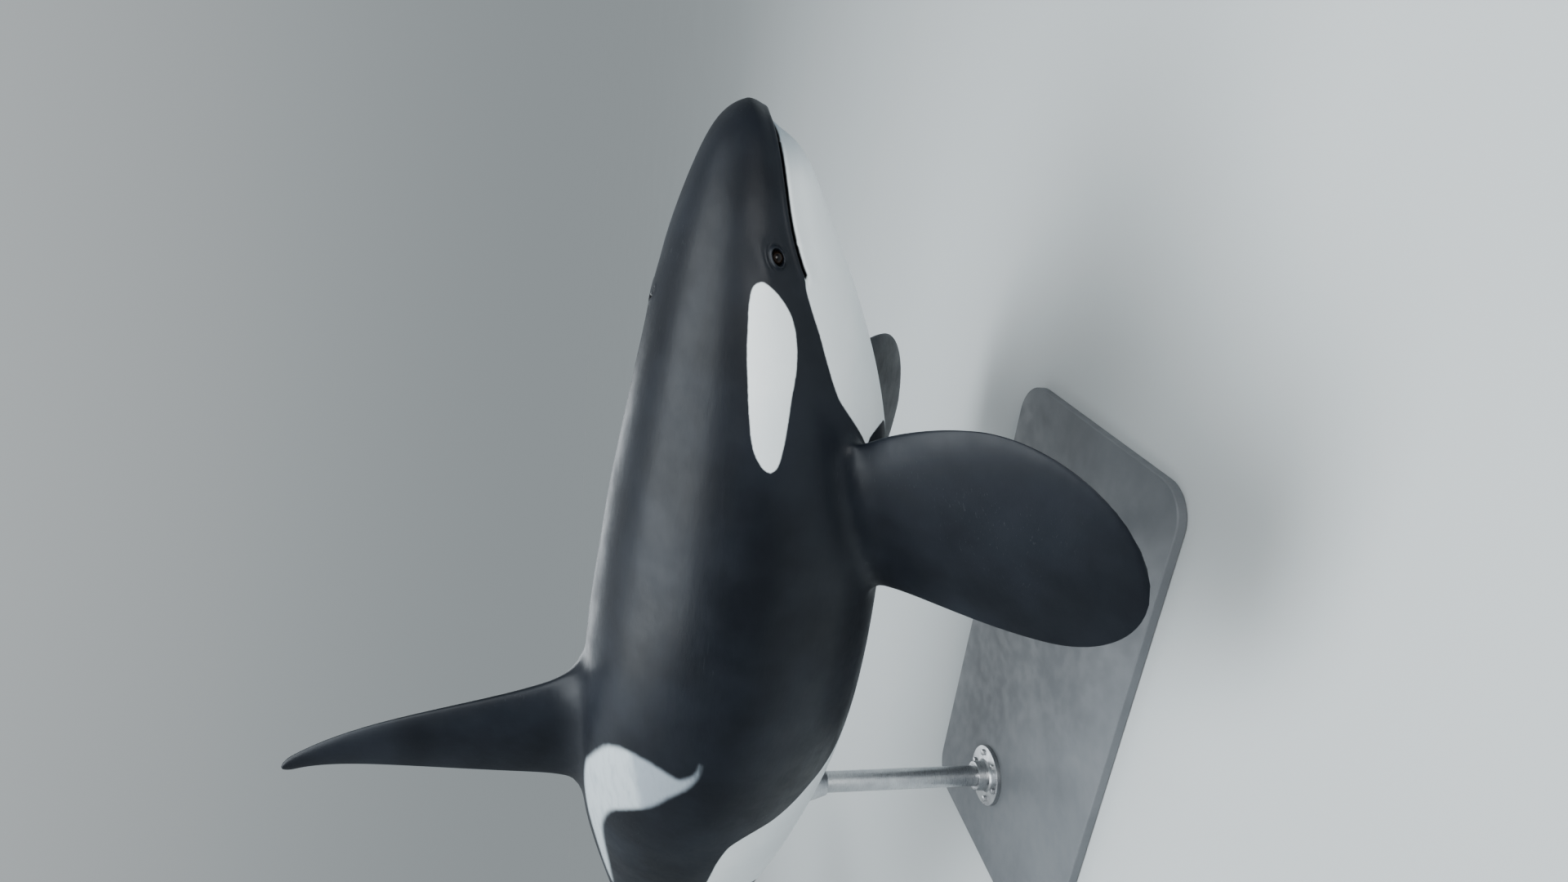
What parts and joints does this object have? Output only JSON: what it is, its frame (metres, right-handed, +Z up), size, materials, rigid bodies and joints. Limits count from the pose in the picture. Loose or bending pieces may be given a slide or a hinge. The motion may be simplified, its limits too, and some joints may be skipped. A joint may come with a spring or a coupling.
{
  "type": "orca on a display stand",
  "caption": "Life-size still model of an adult male orca, swimming with its tail turned to its left, held over a flat base by rods.",
  "frame": {"origin": "middle of the underside of the stand's base, on the floor", "axes": "+X toward the animal's head, +Y toward its left side, +Z up"},
  "size_m": [6.793, 3.5862, 3.743],
  "materials": {
    "orca_skin": "wet satin",
    "eye": "gloss",
    "stand_plate": "satin",
    "stand_steel": "brushed"
  },
  "bodies": {
    "root": {"head": "orca_skin", "lower_jaw": "orca_skin", "torso": "orca_skin", "tail_stock": "orca_skin", "dorsal_fin": "orca_skin", "flipper_left": "orca_skin", "flipper_right": "orca_skin", "fluke_left": "orca_skin", "fluke_right": "orca_skin", "eye_left": "eye", "eye_right": "eye", "stand_base": "stand_plate", "stand_rod_front": "stand_steel", "stand_rod_rear": "stand_steel", "stand_flange_front": "stand_steel", "stand_flange_rear": "stand_steel", "stand_sleeve_front": "stand_steel", "stand_sleeve_rear": "stand_steel", "stand_bolt_front_1": "stand_steel", "stand_bolt_front_2": "stand_steel", "stand_bolt_front_3": "stand_steel", "stand_bolt_front_4": "stand_steel", "stand_bolt_front_5": "stand_steel", "stand_bolt_front_6": "stand_steel", "stand_bolt_rear_1": "stand_steel", "stand_bolt_rear_2": "stand_steel", "stand_bolt_rear_3": "stand_steel", "stand_bolt_rear_4": "stand_steel", "stand_bolt_rear_5": "stand_steel", "stand_bolt_rear_6": "stand_steel"}
  },
  "joints": []
}
